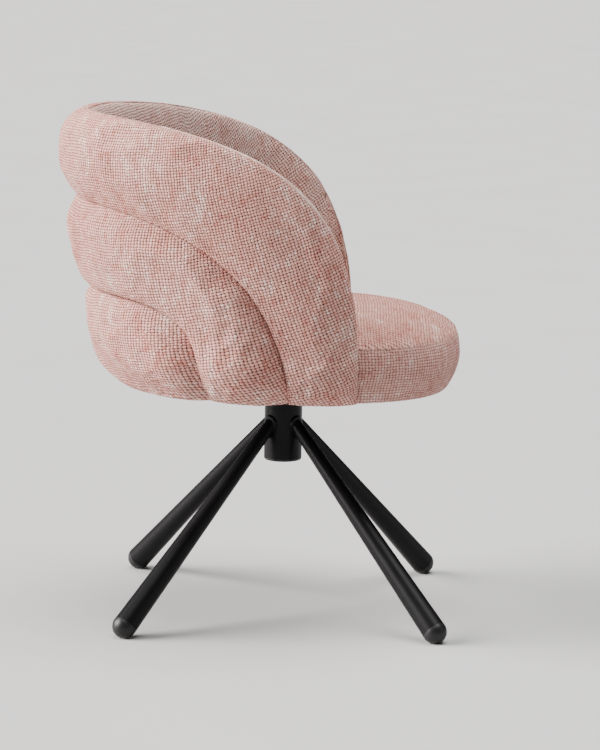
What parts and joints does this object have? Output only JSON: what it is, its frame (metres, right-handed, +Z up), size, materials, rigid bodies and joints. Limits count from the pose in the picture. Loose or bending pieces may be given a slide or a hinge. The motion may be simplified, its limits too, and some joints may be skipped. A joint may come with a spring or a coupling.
{
  "type": "styling chair",
  "caption": "Upholstered swivel tub chair: round seat cushion, wrap-round back of three nested padded rolls, and splayed tapered tube legs welded to a central hub.",
  "frame": {"origin": "on the floor under the middle of the chair's outline; the swivel axis is 41.5 mm in front of it, at X 0, Y -0.0415 m", "axes": "+Z up, the sitter faces -Y, +X is the left-hand side of the sitter"},
  "size_m": [0.5678, 0.6367, 0.794],
  "materials": {
    "black_steel": "satin",
    "black_plastic": "satin",
    "zinc_steel": "satin",
    "polished_steel": "polished",
    "nylon": "satin",
    "plywood": "matte",
    "black_felt": "matte",
    "foam": "matte",
    "chenille": "matte"
  },
  "bodies": {
    "base": {"hub_tube": "black_steel", "leg_front_left": "black_steel", "leg_front_right": "black_steel", "leg_rear_left": "black_steel", "leg_rear_right": "black_steel", "weld_beads": "black_steel", "foot_cap_front_left": "black_plastic", "foot_cap_front_right": "black_plastic", "foot_cap_rear_left": "black_plastic", "foot_cap_rear_right": "black_plastic", "hub_end_cap": "black_plastic", "lower_bush": "nylon", "upper_bush": "nylon", "bearing_lower_race": "zinc_steel"},
    "bearing_cage": {"bearing_cage": "nylon", "bearing_balls": "polished_steel"},
    "seat": {"bearing_upper_race": "zinc_steel", "spindle": "zinc_steel", "spindle_washer": "zinc_steel", "spindle_bolt": "zinc_steel", "swivel_plate": "black_steel", "plate_bolts": "zinc_steel", "tee_nuts": "zinc_steel", "seat_board": "plywood", "dust_cover": "black_felt", "staples": "zinc_steel", "seat_foam": "foam", "seat_cover_top": "chenille", "seat_cover_boxing": "chenille", "back_frame": "plywood", "frame_screws": "zinc_steel", "edge_strip": "foam", "inner_pad": "foam", "inner_cover": "chenille", "top_roll_foam": "foam", "middle_roll_foam": "foam", "bottom_roll_foam": "foam", "top_roll_cover": "chenille", "middle_roll_cover": "chenille", "bottom_roll_cover": "chenille"}
  },
  "joints": [
    {"name": "seat_swivel", "type": "hinge", "parent": "base", "child": "seat", "pos_m": [0, -0.0415, 0.36], "axis": [0, 0, 1], "continuous": true},
    {"name": "cage_turn", "type": "hinge", "parent": "base", "child": "bearing_cage", "pos_m": [0, -0.0415, 0.352], "axis": [0, 0, 1], "continuous": true}
  ],
  "couplings": [
    {"joint": "cage_turn", "follows": "seat_swivel", "ratio": 0.5}
  ]
}
